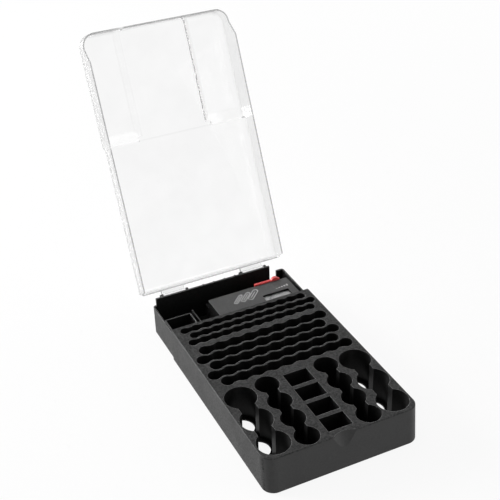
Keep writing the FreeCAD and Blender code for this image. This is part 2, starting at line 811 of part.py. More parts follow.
def profile_block(points, plane, low, high):
    """An outline in the XZ or YZ plane, drawn out along the axis across it."""
    along_x = plane == "YZ"
    corners = [Vector(low, u, w) if along_x else Vector(u, low, w) for u, w in points]
    reach = Vector(high - low, 0, 0) if along_x else Vector(0, high - low, 0)
    return Part.Face(Part.makePolygon(corners + corners[:1])).extrude(reach)


def lid_form(inset):
    """The lid's outside for no inset, or its hollow for an inset of one wall."""
    base = value("lid_rim - overrun") - inset
    far_x, far_y = value("lid_half_width + overrun"), value("lid_half_length + overrun")
    rear_roof, centre_roof, d_roof = [
        value(name) - inset for name in ("lid_rear_roof", "lid_centre_roof", "lid_d_roof")
    ]
    low_x, high_x = value("lid_zone_low") + inset, value("lid_zone_high") + inset
    low_y, high_y = value("lid_step_low") - inset, value("lid_step_high") - inset
    form = rounded_block(inset, base, rear_roof)
    tall = rounded_block(inset, base, d_roof)
    along = [(-far_y, base), (low_y, base), (low_y, rear_roof), (high_y, d_roof), (-far_y, d_roof)]
    tall = tall.common(profile_block(along, "YZ", -far_x, far_x))
    for side in (-1, 1):
        across = [
            (side * low_x, base), (side * low_x, rear_roof), (side * high_x, d_roof),
            (side * far_x, d_roof), (side * far_x, base),
        ]
        form = form.fuse(tall.common(profile_block(across, "XZ", -far_y, far_y)))
    centre = rounded_block(inset, base, centre_roof)
    reach = high_x - inset
    front_centre = [(-reach, base), (reach, base), (reach, centre_roof), (-reach, centre_roof)]
    form = form.fuse(centre.common(profile_block(front_centre, "XZ", -far_y, low_y)))
    return form.removeSplitter()


def below_rim():
    """The space under the lid's rim, which rises at the front and at the hinge."""
    far_x, far_y = value("lid_half_width + overrun"), value("lid_half_length + overrun")
    front, back = -value("lid_half_length"), value("lid_half_length")
    rim, base = value("lid_rim"), value("lid_rim - lid_wall - 2 * overrun")
    front_rise = front + value("lid_front_lift_start")
    back_rise = back - value("lid_rear_lift_start")
    front_rim, back_rim = rim + value("lid_front_rim_lift"), rim + value("lid_rear_rim_lift")
    line = [
        (-far_y, base), (-far_y, front_rim), (front_rise - value("lid_front_lift_run"), front_rim),
        (front_rise, rim), (back_rise, rim), (back_rise + value("lid_rear_lift_run"), back_rim),
        (far_y, back_rim), (far_y, base),
    ]
    return profile_block(line, "YZ", -far_x, far_x)


def hinge_tab(side):
    """The lid's knuckle between two lugs, with the heel that stops it when open."""
    inner = value("lug_inner + lug_wall + tab_gap")
    outer = value("lug_outer - lug_wall - tab_gap")
    start = inner if side > 0 else -outer - value("left_lug_shift")
    length = outer - inner
    axis = Vector(start, value("hinge_y"), value("hinge_z"))
    barrel = Part.makeCylinder(value("barrel_radius"), length, axis, Vector(1, 0, 0))
    skirt = value("lid_half_length - lid_wall")
    web_base = value("hinge_z + barrel_radius - tab_wall")
    web_top = value("lid_rim + lid_rear_rim_lift + tab_wall")
    web = Part.makeBox(length, axis.y - skirt, web_top - web_base, Vector(start, skirt, web_base))
    heel_start, heel = value("rear + heel_gap"), value("heel_wall")
    stop = Part.makeBox(length, axis.y - heel_start, heel, Vector(start, heel_start, axis.z - heel / 2))
    stop.rotate(axis, Vector(1, 0, 0), value("lid_open_angle"))
    return barrel.fuse([web, stop])


def lid():
    shell = lid_form(0).cut(lid_form(value("lid_wall"))).cut(below_rim())
    shell = shell.fuse([hinge_tab(-1), hinge_tab(1)]).removeSplitter()
    reach = value("left_lug_outer + overrun")
    axis = Vector(-reach, value("hinge_y"), value("hinge_z"))
    bore = Part.makeCylinder(value("pin_radius + pin_clearance"), 2 * reach, axis, Vector(1, 0, 0))
    solid = feature("lid", shell.cut(bore))
    swing = Rotation(Vector(1, 0, 0), -value("lid_open_angle"))
    solid.Placement = Placement(Vector(0, 0, 0), swing, Vector(0, value("hinge_y"), value("hinge_z")))
    return solid


# Tester: two screwed shells round a gauge, with a sliding arm behind

def shell_box(name, z, inner_z):
    """A hollow half of the tester's case, open on one side."""
    outside = box(name + "_outside", ("tester_left", "tester_right"), ("tester_front", "tester_rear"), z)
    rounded = doc.addObject("Part::Fillet", name + "_rounded")
    rounded.Base = outside
    doc.recompute()
    size = value("tester_corner_radius")
    rounded.Edges = [
        (index, size, size) for index, line in enumerate(outside.Shape.Edges, start=1)
        if line.BoundBox.ZLength > value("tester_wall")
    ]
    inside = box(
        name + "_inside", ("tester_left + tester_wall", "tester_right - tester_wall"),
        ("tester_front + tester_wall", "inner_rear"), inner_z,
    )
    return cut(name + "_shell", rounded, [inside])


POSTS = (
    ("front_left", "left_post_x", "front_post_y"),
    ("front_right", "right_post_x", "front_post_y"),
    ("rear_left", "rear_left_post_x", "rear_post_y"),
    ("rear_right", "right_post_x", "rear_post_y"),
)


def tester_front_case():
    name = "tester_front_case"
    shell = shell_box(name, ("parting", "tester_roof"), ("parting - overrun", "tester_ceiling"))
    posts = [
        round_bar(f"{name}_post_{at}", "post_radius", x, y, ("parting", "tester_ceiling"))
        for at, x, y in POSTS
    ]
    holes = [
        round_bar(f"{name}_hole_{at}", "screw_core_radius", x, y, ("parting - overrun", "screw_tip"))
        for at, x, y in POSTS
    ]
    window = box(
        "gauge_opening", ("window_low_x", "window_high_x"), ("window_low_y", "window_high_y"),
        ("tester_ceiling - overrun", "tester_roof + overrun"),
    )
    slot = box(
        "arm_slot", ("tongue_left - arm_travel - tongue_inset - overrun", "tongue_right + overrun"),
        ("inner_rear - overrun", "tester_rear + overrun"), ("parting - overrun", "slot_top"),
    )
    return cut(name, fuse(name + "_with_posts", [shell] + posts), holes + [window, slot])


def tester_rear_case():
    name = "tester_rear_case"
    shell = shell_box(name, ("tester_base", "parting"), ("tester_floor", "parting + overrun"))
    posts = [
        round_bar(f"{name}_post_{at}", "post_radius", x, y, ("tester_base", "parting"))
        for at, x, y in POSTS
    ]
    for x in ("board_left + board_post_inset", "board_right - board_post_inset"):
        for y in ("board_front + board_post_inset", "board_rear - board_post_inset"):
            label = f"board_post_{len(posts)}"
            posts.append(round_bar(label, "board_post_radius", x, y, ("tester_base", "board_base")))
    lug = box(
        "fixed_contact_lug", ("tester_left", "fixed_contact_x"), ("inner_rear", "paddle_rear"),
        ("paddle_base", "lug_top"),
    )
    cutters = []
    for at, x, y in POSTS:
        cutters.append(round_bar(
            f"counterbore_{at}", "screw_head_radius + screw_head_clearance", x, y,
            ("tester_base - overrun", "screw_seat"),
        ))
        cutters.append(round_bar(
            f"screw_hole_{at}", "screw_hole_radius", x, y, ("tester_base - overrun", "parting + overrun")
        ))
    cutters.append(box(
        "fixed_contact_slot", ("fixed_contact_x", "fixed_contact_right"),
        ("leg_front", "tester_rear + overrun"), ("board_top", "board_top + leg_height"),
    ))
    cutters += [square_contact_stem(row, "square_contact_bore") for row in range(2)]
    return cut(name, fuse(name + "_with_posts", [shell, lug] + posts), cutters)


def square_contact_bar(name, row, radius, x):
    middle = f"square_contact_middle + ({row} - 1 / 2) * square_contact_pitch"
    return round_bar(f"{name}_{row}", radius, x, middle, "square_contact_z")


def square_contact_stem(row, name):
    x = ("tester_right - square_contact_stem_length", "tester_right")
    return square_contact_bar(name, row, "square_contact_stem", x)


def square_contacts():
    """Two studs that touch the terminals of a square battery."""
    head_x = ("tester_right", "tester_right + contact_thickness")
    return fuse("square_battery_contacts", [
        fuse(f"square_contact_{row}", [
            square_contact_stem(row, "square_contact_stem_bar"),
            square_contact_bar("square_contact_head", row, "square_contact_radius", head_x),
        ])
        for row in range(2)
    ])


def tester_screws():
    screws = []
    for at, x, y in POSTS:
        head_z = ("screw_seat - screw_head_height", "screw_seat")
        screws.append(fuse(f"tester_screw_{at}", [
            round_bar(f"screw_head_{at}", "screw_head_radius", x, y, head_z),
            round_bar(f"screw_shank_{at}", "screw_core_radius", x, y, ("screw_seat", "screw_tip")),
        ]))
    return fuse("tester_screws", screws)


def gauge_window():
    return box(
        "gauge_window", ("window_low_x - window_lap", "window_high_x + window_lap"),
        ("window_low_y - window_lap", "window_high_y + window_lap"),
        ("tester_ceiling - window_thickness", "tester_ceiling"),
    )


def gauge_dial():
    plate = box(
        "gauge_dial_plate", ("window_low_x - window_lap", "window_high_x + window_lap"),
        ("window_low_y - window_lap", "gauge_y + yoke_radius - overrun"), ("dial_base", "dial_top"),
    )
    hole_z = ("dial_base - overrun", "dial_top + overrun")
    hole = round_bar("gauge_dial_hole", "dial_hole_radius", "gauge_x", "gauge_y", hole_z)
    return cut("gauge_dial", plate, [hole])


def turned_with_needle(name, shape):
    """Set a piece at the needle's rest angle about the gauge's axis."""
    solid = feature(name, shape)
    swing = Rotation(Vector(0, 0, 1), -value("needle_rest_angle"))
    solid.Placement = Placement(Vector(0, 0, 0), swing, Vector(value("gauge_x"), value("gauge_y"), 0))
    return solid


def gauge_needle():
    """A pointer on a round hub, pressed on the shaft, with a short balancing tail."""
    middle = Vector(value("gauge_x"), value("gauge_y"), value("needle_base"))
    thickness, width = value("needle_thickness"), value("needle_width")
    length, tail = value("needle_length"), value("needle_tail")
    corner = middle - Vector(width / 2, length, 0)
    pointer = Part.makeBox(width, length + tail, thickness, corner)
    hub = Part.makeCylinder(value("hub_radius"), thickness, middle)
    bore = Part.makeCylinder(value("shaft_radius"), thickness, middle)
    return turned_with_needle("gauge_needle", hub.fuse(pointer).removeSplitter().cut(bore))


def needle_shaft():
    body = doc.addObject("PartDesign::Body", "needle_shaft")
    foot = "magnet_top + shaft_clearance"
    sketch = circle_sketch(body, "shaft_outline", "gauge_x", "gauge_y", "shaft_radius", foot)
    pad(body, sketch, f"needle_top - ({foot})")
    return body


def moving_coil():
    """A cup-shaped coil former that turns round the magnet."""
    outside_z = ("magnet_base + coil_foot_gap", "coil_top + coil_web")
    outside = round_bar("coil_outside", "coil_outer", "gauge_x", "gauge_y", outside_z)
    inside = round_bar("coil_inside", "coil_inner", "gauge_x", "gauge_y", ("magnet_base", "coil_top"))
    bore_z = ("coil_top - overrun", "coil_top + coil_web + overrun")
    bore = round_bar("coil_bore", "shaft_radius", "gauge_x", "gauge_y", bore_z)
    return cut("moving_coil", outside, [inside, bore])


def gauge_magnet():
    body = doc.addObject("PartDesign::Body", "gauge_magnet")
    outline = circle_sketch(body, "magnet_outline", "gauge_x", "gauge_y", "magnet_radius", "magnet_base")
    pad(body, outline, "magnet_height")
    return body


def gauge_yoke():
    """A soft iron cup that closes the magnet's field."""
    outside = round_bar("yoke_outside", "yoke_radius", "gauge_x", "gauge_y", ("board_top", "bridge_base"))
    inside_z = ("magnet_base", "bridge_base + overrun")
    inside = round_bar("yoke_inside", "yoke_radius - yoke_wall", "gauge_x", "gauge_y", inside_z)
    return cut("gauge_yoke", outside, [inside])


def gauge_bridge():
    """The bar over the yoke that steadies the shaft and carries the dial."""
    bar = box(
        "bridge_bar", ("gauge_x - yoke_radius", "gauge_x + yoke_radius"),
        ("gauge_y - bridge_width / 2", "gauge_y + bridge_width / 2"), ("bridge_base", "dial_base"),
    )
    bore_z = ("bridge_base - overrun", "dial_base + overrun")
    bore = round_bar("bridge_bore_tool", "bridge_bore", "gauge_x", "gauge_y", bore_z)
    return cut("gauge_bridge", bar, [bore])


def circuit_board():
    x, y = ("board_left", "board_right"), ("board_front", "board_rear")
    return box("circuit_board", x, y, ("board_base", "board_top"))


def load_resistors():
    start = "board_left + resistor_inset"
    return fuse("load_resistors", [
        round_bar(
            f"load_resistor_{index}", "resistor_radius", (start, f"{start} + resistor_length"),
            f"board_front + {index + 1} * resistor_pitch", "board_top + resistor_radius",
        )
        for index in range(RESISTORS)
    ])


def slide_arm():
    """The red arm: a strip behind the case, a thumb, a paddle and a captive flange."""
    x = ("arm_left", "arm_right")
    strip = box("arm_strip", x, ("arm_front", "arm_rear"), ("arm_top - arm_rise - arm_drop", "arm_top"))
    thumb_x = "arm_right - thumb_radius"
    thumb_z = "tester_roof + thumb_rise - thumb_radius"
    thumb_y = ("arm_front", "arm_front + thumb_thickness")
    thumb = round_bar("arm_thumb", "thumb_radius", thumb_x, thumb_y, thumb_z)
    paddle_x = ("arm_left", "arm_left + paddle_wall")
    paddle = box("arm_paddle", paddle_x, ("arm_front", "paddle_rear"), ("paddle_base", "paddle_top"))
    tongue_x, tongue_z = ("tongue_left", "tongue_right"), ("tongue_base", "tongue_top")
    tongue = box("arm_tongue", tongue_x, ("flange_rear", "arm_front"), tongue_z)
    flange_x = ("arm_left + flange_inset", "arm_right - flange_inset")
    flange_z = ("flange_middle - flange_height / 2", "flange_middle + flange_height / 2")
    flange = box("arm_flange", flange_x, ("flange_front", "flange_rear"), flange_z)
    return fuse("slide_arm", [strip, thumb, paddle, tongue, flange])


def slide_contact():
    """A brass clip on the paddle whose leg passes the slot and brushes the rail."""
    x = ("contact_left", "arm_left")
    z = ("tongue_base + arm_gap", "tongue_top - arm_gap")
    plate_z = ("paddle_base + contact_inset", "paddle_top - arm_gap")
    plate = box("slide_contact_plate", x, ("arm_front", "paddle_rear"), plate_z)
    leg = box("slide_contact_leg", x, ("brush_front", "arm_front"), z)
    brush_x = ("arm_left", "arm_left + brush_length")
    brush = box("slide_contact_brush", brush_x, ("brush_front", "flange_front"), z)
    return fuse("slide_contact", [plate, leg, brush])


def contact_rail():
    """The brass strip on the board that the arm's brush runs along."""
    return box(
        "contact_rail", ("contact_left - arm_travel - contact_inset", "board_right - contact_inset"),
        ("rail_rear - contact_thickness", "rail_rear"), ("board_top", "board_top + rail_height"),
    )


def fixed_contact():
    """The brass strip on the case's lug, with a leg that lies on the board."""
    x = ("fixed_contact_x", "fixed_contact_right")
    leg_z = ("board_top", "board_top + leg_height")
    plate_z = ("board_top", "lug_top - contact_inset")
    plate = box("fixed_contact_plate", x, ("tester_rear", "paddle_rear"), plate_z)
    leg = box("fixed_contact_leg", x, ("leg_front", "tester_rear"), leg_z)
    foot = box(
        "fixed_contact_foot", ("fixed_contact_right", "fixed_contact_right + leg_foot_length"),
        ("leg_front", "leg_front + contact_thickness"), leg_z,
    )
    return fuse("fixed_contact", [plate, leg, foot])


deck = deck_form()
NODES = {
    "tray_d_bank_left": d_bank("left", -1, deck),
    "tray_d_bank_right": d_bank("right", 1, deck),
    "tray_c_and_square_bank": centre_bank(deck),
    "tray_aa_bank": small_cell_bank(deck, ("aa_split", "aaa_split"), "aa", AA_ROWS, AA_COLUMNS, 1),
    "tray_aaa_bank": small_cell_bank(deck, ("aaa_split", "bay_split"), "aaa", AAA_ROWS, AAA_COLUMNS, -1),
    "tray_tester_bay": tester_bay(),
    "coin_cell_cup": coin_cell_cup(),
    "hinge_pins": hinge_pins(),
    "lid": lid(),
    "tester_front_case": tester_front_case(),
    "tester_rear_case": tester_rear_case(),
    "tester_screws": tester_screws(),
    "gauge_window": gauge_window(),
    "gauge_dial": gauge_dial(),
    "gauge_needle": gauge_needle(),
    "needle_shaft": needle_shaft(),
    "moving_coil": moving_coil(),
    "gauge_magnet": gauge_magnet(),
    "gauge_yoke": gauge_yoke(),
    "gauge_bridge": gauge_bridge(),
    "circuit_board": circuit_board(),
    "load_resistors": load_resistors(),
    "slide_arm": slide_arm(),
    "slide_contact": slide_contact(),
    "contact_rail": contact_rail(),
    "fixed_contact": fixed_contact(),
    "square_battery_contacts": square_contacts(),
}
doc.recompute()

for item in doc.Objects:
    faults = {"Invalid", "Error"} & set(item.State)
    assert not faults, f"{item.Name}: {item.State}"
for node, solid in NODES.items():
    solid.Label = node
    shape = solid.Shape
    assert not shape.isNull() and shape.isValid() and shape.Solids, f"{node} has no sound shape"

os.makedirs("parts", exist_ok=True)
for node, solid in NODES.items():
    solid.Shape.exportStep(f"parts/{node}.step")
    limits = solid.Shape.optimalBoundingBox(False)
    print(f"{node}: {len(solid.Shape.Solids)} solids, {solid.Shape.Volume:.0f} mm3, "
          f"x {limits.XMin:.1f} {limits.XMax:.1f}, y {limits.YMin:.1f} {limits.YMax:.1f}, "
          f"z {limits.ZMin:.1f} {limits.ZMax:.1f}")
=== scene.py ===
import math

import bmesh
import bpy
from mathutils import Euler, Matrix, Vector


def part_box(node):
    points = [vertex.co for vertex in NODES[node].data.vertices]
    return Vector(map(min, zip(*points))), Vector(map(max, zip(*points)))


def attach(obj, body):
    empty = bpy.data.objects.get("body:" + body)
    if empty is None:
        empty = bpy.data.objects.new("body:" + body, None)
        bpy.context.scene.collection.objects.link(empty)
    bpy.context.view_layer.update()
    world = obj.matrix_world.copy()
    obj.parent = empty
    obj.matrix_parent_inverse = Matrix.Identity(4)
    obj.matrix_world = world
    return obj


# Looks of a battery organiser: a black pocketed tray, a clear hinged lid and a grey tester with a red arm.

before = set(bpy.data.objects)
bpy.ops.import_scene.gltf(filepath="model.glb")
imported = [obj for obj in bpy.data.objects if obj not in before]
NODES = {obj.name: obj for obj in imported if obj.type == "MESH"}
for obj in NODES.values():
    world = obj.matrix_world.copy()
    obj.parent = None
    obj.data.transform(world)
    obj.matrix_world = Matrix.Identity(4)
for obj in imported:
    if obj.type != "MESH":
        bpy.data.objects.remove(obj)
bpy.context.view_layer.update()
MM = 0.001

TRAY_NODES = (
    "tray_d_bank_left", "tray_d_bank_right", "tray_c_and_square_bank",
    "tray_aa_bank", "tray_aaa_bank", "tray_tester_bay",
)


# Nodes of a material

def linear(hex_colour):
    """Turn an sRGB hex colour into the linear colour that a shader takes."""
    shares = [int(hex_colour[i:i + 2], 16) / 255 for i in (1, 3, 5)]
    return (*[c / 12.92 if c <= 0.04045 else ((c + 0.055) / 1.055) ** 2.4 for c in shares], 1)


def per_size(size_mm):
    """The texture scale at which one feature is about this many millimetres wide."""
    return 1 / (size_mm * MM)


def feed(node, inputs):
    """Give a node's sockets their values, or the sockets that feed them."""
    for socket, given in inputs.items():
        if isinstance(given, bpy.types.NodeSocket):
            node.id_data.links.new(given, node.inputs[socket])
        else:
            node.inputs[socket].default_value = given


def add(tree, kind, inputs=None, **settings):
    """Add a node with its settings; inputs are values or the sockets that feed it."""
    node = tree.nodes.new(kind)
    for name, setting in settings.items():
        setattr(node, name, setting)
    feed(node, inputs or {})
    return node


# Places of a colour Mix node's sockets, whose names it shares with other kinds of value
MIX_SHARE, MIX_FIRST, MIX_SECOND, MIX_RESULT = 0, 6, 7, 2

# The part of a noise texture's range in which nearly all of its values lie, and a smaller part that gives
# its patches firmer edges
NOISE_SPAN = (0.3, 0.7)
FIRM_SPAN = (0.35, 0.65)
NOISE_ROUGHNESS = 0.6


def finish(name, inputs):
    """A new material, its shader and the piece's own coordinates."""
    material = bpy.data.materials.new(name)
    material.use_nodes = True
    shader = material.node_tree.nodes["Principled BSDF"]
    feed(shader, inputs)
    place = add(material.node_tree, "ShaderNodeTexCoord").outputs["Object"]
    return material, shader, place


def patches(tree, place, size_mm, detail, span=NOISE_SPAN):
    """Soft irregular patches of about this size: their height, and a share that grows over a span of it."""
    height = add(tree, "ShaderNodeTexNoise", {
        "Vector": place, "Scale": per_size(size_mm), "Detail": detail, "Roughness": NOISE_ROUGHNESS,
    }).outputs["Fac"]
    share = add(tree, "ShaderNodeMapRange", {"Value": height, "From Min": span[0], "From Max": span[1]})
    return height, share.outputs[0]


def varied(shader, pattern, tones, roughness, gloss_span=NOISE_SPAN):
    """Let the tone follow a pattern's share, and the gloss a span of its height."""
    tree = shader.id_data
    height, share = pattern
    tone = add(tree, "ShaderNodeMix", {
        MIX_SHARE: share, MIX_FIRST: linear(tones[0]), MIX_SECOND: linear(tones[1]),
    }, data_type="RGBA")
    dullness = add(tree, "ShaderNodeMapRange", {
        "Value": height, "From Min": gloss_span[0], "From Max": gloss_span[1],
        "To Min": roughness[0], "To Max": roughness[1],
    })
    feed(shader, {"Base Color": tone.outputs[MIX_RESULT], "Roughness": dullness.outputs[0]})


# Black, grey and red mouldings

# Where the tray's nodes meet face to face: they are one moulding, so no edge shows there
SEAM_REACH = 1.2 * MM
SEAMS = (
    ("X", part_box("tray_d_bank_left")[1].x), ("X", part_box("tray_d_bank_right")[0].x),
    ("Y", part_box("tray_c_and_square_bank")[1].y), ("Y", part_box("tray_aa_bank")[1].y),
    ("Y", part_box("tray_aaa_bank")[1].y),
)


def away_from(tree, place, seams):
    """One on the whole surface, but zero along the seams."""
    places = add(tree, "ShaderNodeSeparateXYZ", {"Vector": place}).outputs
    near = 0.0
    for axis, plane in seams:
        here = add(tree, "ShaderNodeMath", {
            0: places[axis], 1: plane, 2: SEAM_REACH,
        }, operation="COMPARE").outputs[0]
        near = add(tree, "ShaderNodeMath", {0: near, 1: here}, operation="ADD").outputs[0]
    return add(tree, "ShaderNodeMath", {0: 1.0, 1: near}, operation="SUBTRACT", use_clamp=True).outputs[0]


# How large the clouds in the gloss are, and how far they move the roughness
CLOUD_SIZE_MM = 24
CLOUDY_GLOSS = 0.06
# How level a rounded edge is with the face beside it: where its painted highlight starts, and where it is
# full
EDGE_HIGHLIGHT_LEVELS = (0.99, 0.8)


def moulded(name, tones, roughness, grain_mm, grain_depth_mm, gloss=0.5, edge_mm=0.35, seams=()):
    """Injection moulded ABS: mould grain, cloudy gloss, and round edges, with a painted sheen on the grain's
    high spots and a painted pale highlight on the edges.

    The three tones are the plastic's own, the painted sheen on the grain's high spots and the painted
    highlight on the edges. Each finish has its grain drawn coarser than the real one, so that it shows.
    """
    material, shader, place = finish(name, {"IOR": 1.53, "Specular IOR Level": gloss})
    tree = material.node_tree
    own, painted_grain_sheen, painted_edge_highlight = [linear(tone) for tone in tones]
    grain, grain_share = patches(tree, place, size_mm=grain_mm, detail=3, span=FIRM_SPAN)
    clouds = patches(tree, place, size_mm=CLOUD_SIZE_MM, detail=5)[1]

    flat = add(tree, "ShaderNodeNewGeometry").outputs["Normal"]
    rounded = add(tree, "ShaderNodeBevel", {"Radius": edge_mm * MM}, samples=6).outputs[0]
    edge = add(tree, "ShaderNodeMix", {
        MIX_SHARE: away_from(tree, place, seams), MIX_FIRST: flat, MIX_SECOND: rounded,
    }, data_type="RGBA").outputs[MIX_RESULT]
    level = add(tree, "ShaderNodeVectorMath", {0: edge, 1: flat}, operation="DOT_PRODUCT").outputs["Value"]
    edge_highlight_share = add(tree, "ShaderNodeMapRange", {
        "Value": level, "From Min": EDGE_HIGHLIGHT_LEVELS[0], "From Max": EDGE_HIGHLIGHT_LEVELS[1],
    }).outputs[0]

    # Painted sheen: the grain's high spots are drawn paler than the plastic
    grain_with_painted_sheen = add(tree, "ShaderNodeMix", {
        MIX_SHARE: grain_share, MIX_FIRST: own, MIX_SECOND: painted_grain_sheen,
    }, data_type="RGBA").outputs[MIX_RESULT]
    # Painted highlight: the rounded edges are drawn pale
    with_painted_edge_highlight = add(tree, "ShaderNodeMix", {
        MIX_SHARE: edge_highlight_share, MIX_FIRST: grain_with_painted_sheen, MIX_SECOND: painted_edge_highlight,
    }, data_type="RGBA").outputs[MIX_RESULT]
    dullness = add(tree, "ShaderNodeMapRange", {
        "Value": clouds, "To Min": roughness - CLOUDY_GLOSS, "To Max": roughness + CLOUDY_GLOSS,
    }).outputs[0]
    bump = add(tree, "ShaderNodeBump", {"Height": grain, "Distance": grain_depth_mm * MM, "Normal": edge})
    feed(shader, {"Base Color": with_painted_edge_highlight, "Roughness": dullness, "Normal": bump.outputs[0]})
    return material


def textured_abs():
    """Black ABS moulded against spark-eroded steel: a fine dull grain, with a pale sheen painted on its high
    spots and a pale highlight painted on the edges.

    The real grit is about 0.1 mm; it is drawn at 2 mm, so that it shows from a step away.
    """
    return moulded(
        "textured_black_abs", ("#080808", "#383838", "#8c8c8c"), roughness=0.5,
        grain_mm=2.0, grain_depth_mm=0.18, gloss=0.2, edge_mm=0.8, seams=SEAMS,
    )


def satin_abs():
    """Black ABS moulded against blasted steel: the even, smoother face of the tray's front, with a faint
    sheen painted on its grain and a pale highlight painted on its edges.
    """
    return moulded(
        "satin_black_abs", ("#282828", "#2e2e2e", "#6c6c6c"), roughness=0.5,
        grain_mm=1.8, grain_depth_mm=0.04, gloss=0.3, edge_mm=0.9, seams=SEAMS,
    )


def polished_abs():
    """Black ABS moulded against polished steel: the pockets' smooth, deep black walls, with a faint highlight
    painted on their edges.
    """
    return moulded(
        "polished_black_abs", ("#141414", "#1a1a1a", "#222222"), roughness=0.4,
        grain_mm=3.0, grain_depth_mm=0.01, gloss=0.08, seams=SEAMS,
    )


def charcoal_abs():
    """Charcoal ABS with a satin mould finish: the tester's flat matt face, with a faint sheen painted on its
    grain and a pale highlight painted on its edges.
    """
    return moulded(
        "satin_charcoal_abs", ("#343434", "#424242", "#6c6c6c"), roughness=0.55,
        grain_mm=0.9, grain_depth_mm=0.04, gloss=0.3,
    )


def red_abs():
    """Red ABS, moulded smooth: a soft gloss, with a faint sheen painted on its grain and a pale highlight
    painted on its edges.
    """
    return moulded(
        "smooth_red_abs", ("#c23436", "#cc3f40", "#ee7a76"), roughness=0.38,
        grain_mm=1.4, grain_depth_mm=0.01, gloss=0.4,
    )


# Clear plastics

def lets_lamps_through(material, shader, colour, density):
    """Clear plastic whose shadow is light, and that darkens with the length of plastic in the way."""
    tree = material.node_tree
    light = add(tree, "ShaderNodeLightPath")
    through = add(tree, "ShaderNodeBsdfTransparent", {"Color": linear("#f2f2f2")})
    surface = add(tree, "ShaderNodeMixShader", {
        0: light.outputs["Is Shadow Ray"], 1: shader.outputs[0], 2: through.outputs[0],
    })
    absorb = add(tree, "ShaderNodeVolumeAbsorption", {"Color": linear(colour), "Density": density})
    feed(tree.nodes["Material Output"], {"Surface": surface.outputs[0], "Volume": absorb.outputs[0]})


# The low steps in the lid's roof lie within this distance of its middle, and look sideways by more than this
STEP_REACH = 70.0 * MM
STEP_SIDEWAYS = 0.3
# How nearly the view runs along a wall: where its painted dark shade starts, and where it is full
WALL_SHADE_GRAZING = (0.66, 0.92)
# How large the patches are in which the clear plastic differs a little in tone
FLOW_SIZE_MM = 45


def clear_styrene():
    """Clear polystyrene, moulded thin: it hardly shows but for grey lines painted where the view runs along a
    wall, a painted shade in place of the dark edges that refraction gives.

    The low steps in the middle of the roof get a paler painted shade than the outer walls.
    """
    material, shader, place = finish("clear_polystyrene", {
        "Roughness": 0.0, "IOR": 1.57, "Transmission Weight": 1.0, "Alpha": 0.85,
    })
    tree = material.node_tree
    way = add(tree, "ShaderNodeTexCoord").outputs["Normal"]
    way_x, at_x = [
        add(tree, "ShaderNodeMath", {
            0: add(tree, "ShaderNodeSeparateXYZ", {"Vector": vector}).outputs["X"],
        }, operation="ABSOLUTE").outputs[0] for vector in (way, place)
    ]
    sideways = add(tree, "ShaderNodeMath", {0: way_x, 1: STEP_SIDEWAYS}, operation="GREATER_THAN")
    in_middle = add(tree, "ShaderNodeMath", {0: at_x, 1: STEP_REACH}, operation="LESS_THAN")
    on_step = add(tree, "ShaderNodeMath", {
        0: sideways.outputs[0], 1: in_middle.outputs[0],
    }, operation="MULTIPLY")
    # Painted shade for walls seen edge-on: dark on the outer walls, pale on the low steps
    painted_wall_shade = add(tree, "ShaderNodeMix", {
        MIX_SHARE: on_step.outputs[0], MIX_FIRST: linear("#141414"), MIX_SECOND: linear("#d4d4d4"),
    }, data_type="RGBA")
    flow = patches(tree, place, size_mm=FLOW_SIZE_MM, detail=2, span=FIRM_SPAN)[1]
    face_tone = add(tree, "ShaderNodeMix", {
        MIX_SHARE: flow, MIX_FIRST: linear("#f6f6f6"), MIX_SECOND: linear("#f9f9f9"),
    }, data_type="RGBA")
    facing = add(tree, "ShaderNodeLayerWeight", {"Blend": 0.4}).outputs["Facing"]
    painted_wall_shade_share = add(tree, "ShaderNodeMapRange", {
        "Value": facing, "From Min": WALL_SHADE_GRAZING[0], "From Max": WALL_SHADE_GRAZING[1],
    })
    tone = add(tree, "ShaderNodeMix", {
        MIX_SHARE: painted_wall_shade_share.outputs[0],
        MIX_FIRST: face_tone.outputs[MIX_RESULT], MIX_SECOND: painted_wall_shade.outputs[MIX_RESULT],
    }, data_type="RGBA")
    feed(shader, {"Base Color": tone.outputs[MIX_RESULT]})
    lets_lamps_through(material, shader, "#8c8c8c", density=16)
    return material


def clear_acrylic():
    """Clear acrylic, polished: a thin glossy pane over the dial, with faint smears."""
    material, shader, place = finish("clear_acrylic", {
        "Base Color": linear("#ffffff"), "IOR": 1.49, "Transmission Weight": 1.0,
    })
    tree = material.node_tree
    smears = patches(tree, place, size_mm=6, detail=4)[1]
    dullness = add(tree, "ShaderNodeMapRange", {"Value": smears, "To Min": 0.02, "To Max": 0.08})
    feed(shader, {"Roughness": dullness.outputs[0]})
    lets_lamps_through(material, shader, "#f0f0f0", density=4)
    return material


# Card, ink, board and lacquer

def printed_card():
    """White card printed in grey ink: a matt dial with a faint paper tooth, drawn coarse so that it shows."""
    material, shader, place = finish("printed_card", {"IOR": 1.45})
    tooth = patches(material.node_tree, place, size_mm=0.4, detail=4)
    varied(shader, tooth, ("#8a8a8b", "#9c9c9d"), roughness=(0.75, 0.9))
    return material


def ink(name, colour, worn):
    """Pad-printed ink or thin paint: a satin coat with duller specks where it is worn thin."""
    material, shader, place = finish(name, {"IOR": 1.48})
    specks = patches(material.node_tree, place, size_mm=0.5, detail=4, span=(0.35, 0.7))
    varied(shader, specks, (colour, worn), roughness=(0.4, 0.55))
    return material


def paper_laminate():
    """Phenolic paper laminate: a satin brown board with fibres that run along it."""
    material, shader, place = finish("phenolic_paper_laminate", {"IOR": 1.55})
    tree = material.node_tree
    along = add(tree, "ShaderNodeMapping", {"Vector": place, "Scale": (0.2, 1, 1)}).outputs[0]
    fibres = patches(tree, along, size_mm=0.6, detail=4)
    varied(shader, fibres, ("#8a5f2c", "#a5763a"), roughness=(0.35, 0.5))
    return material


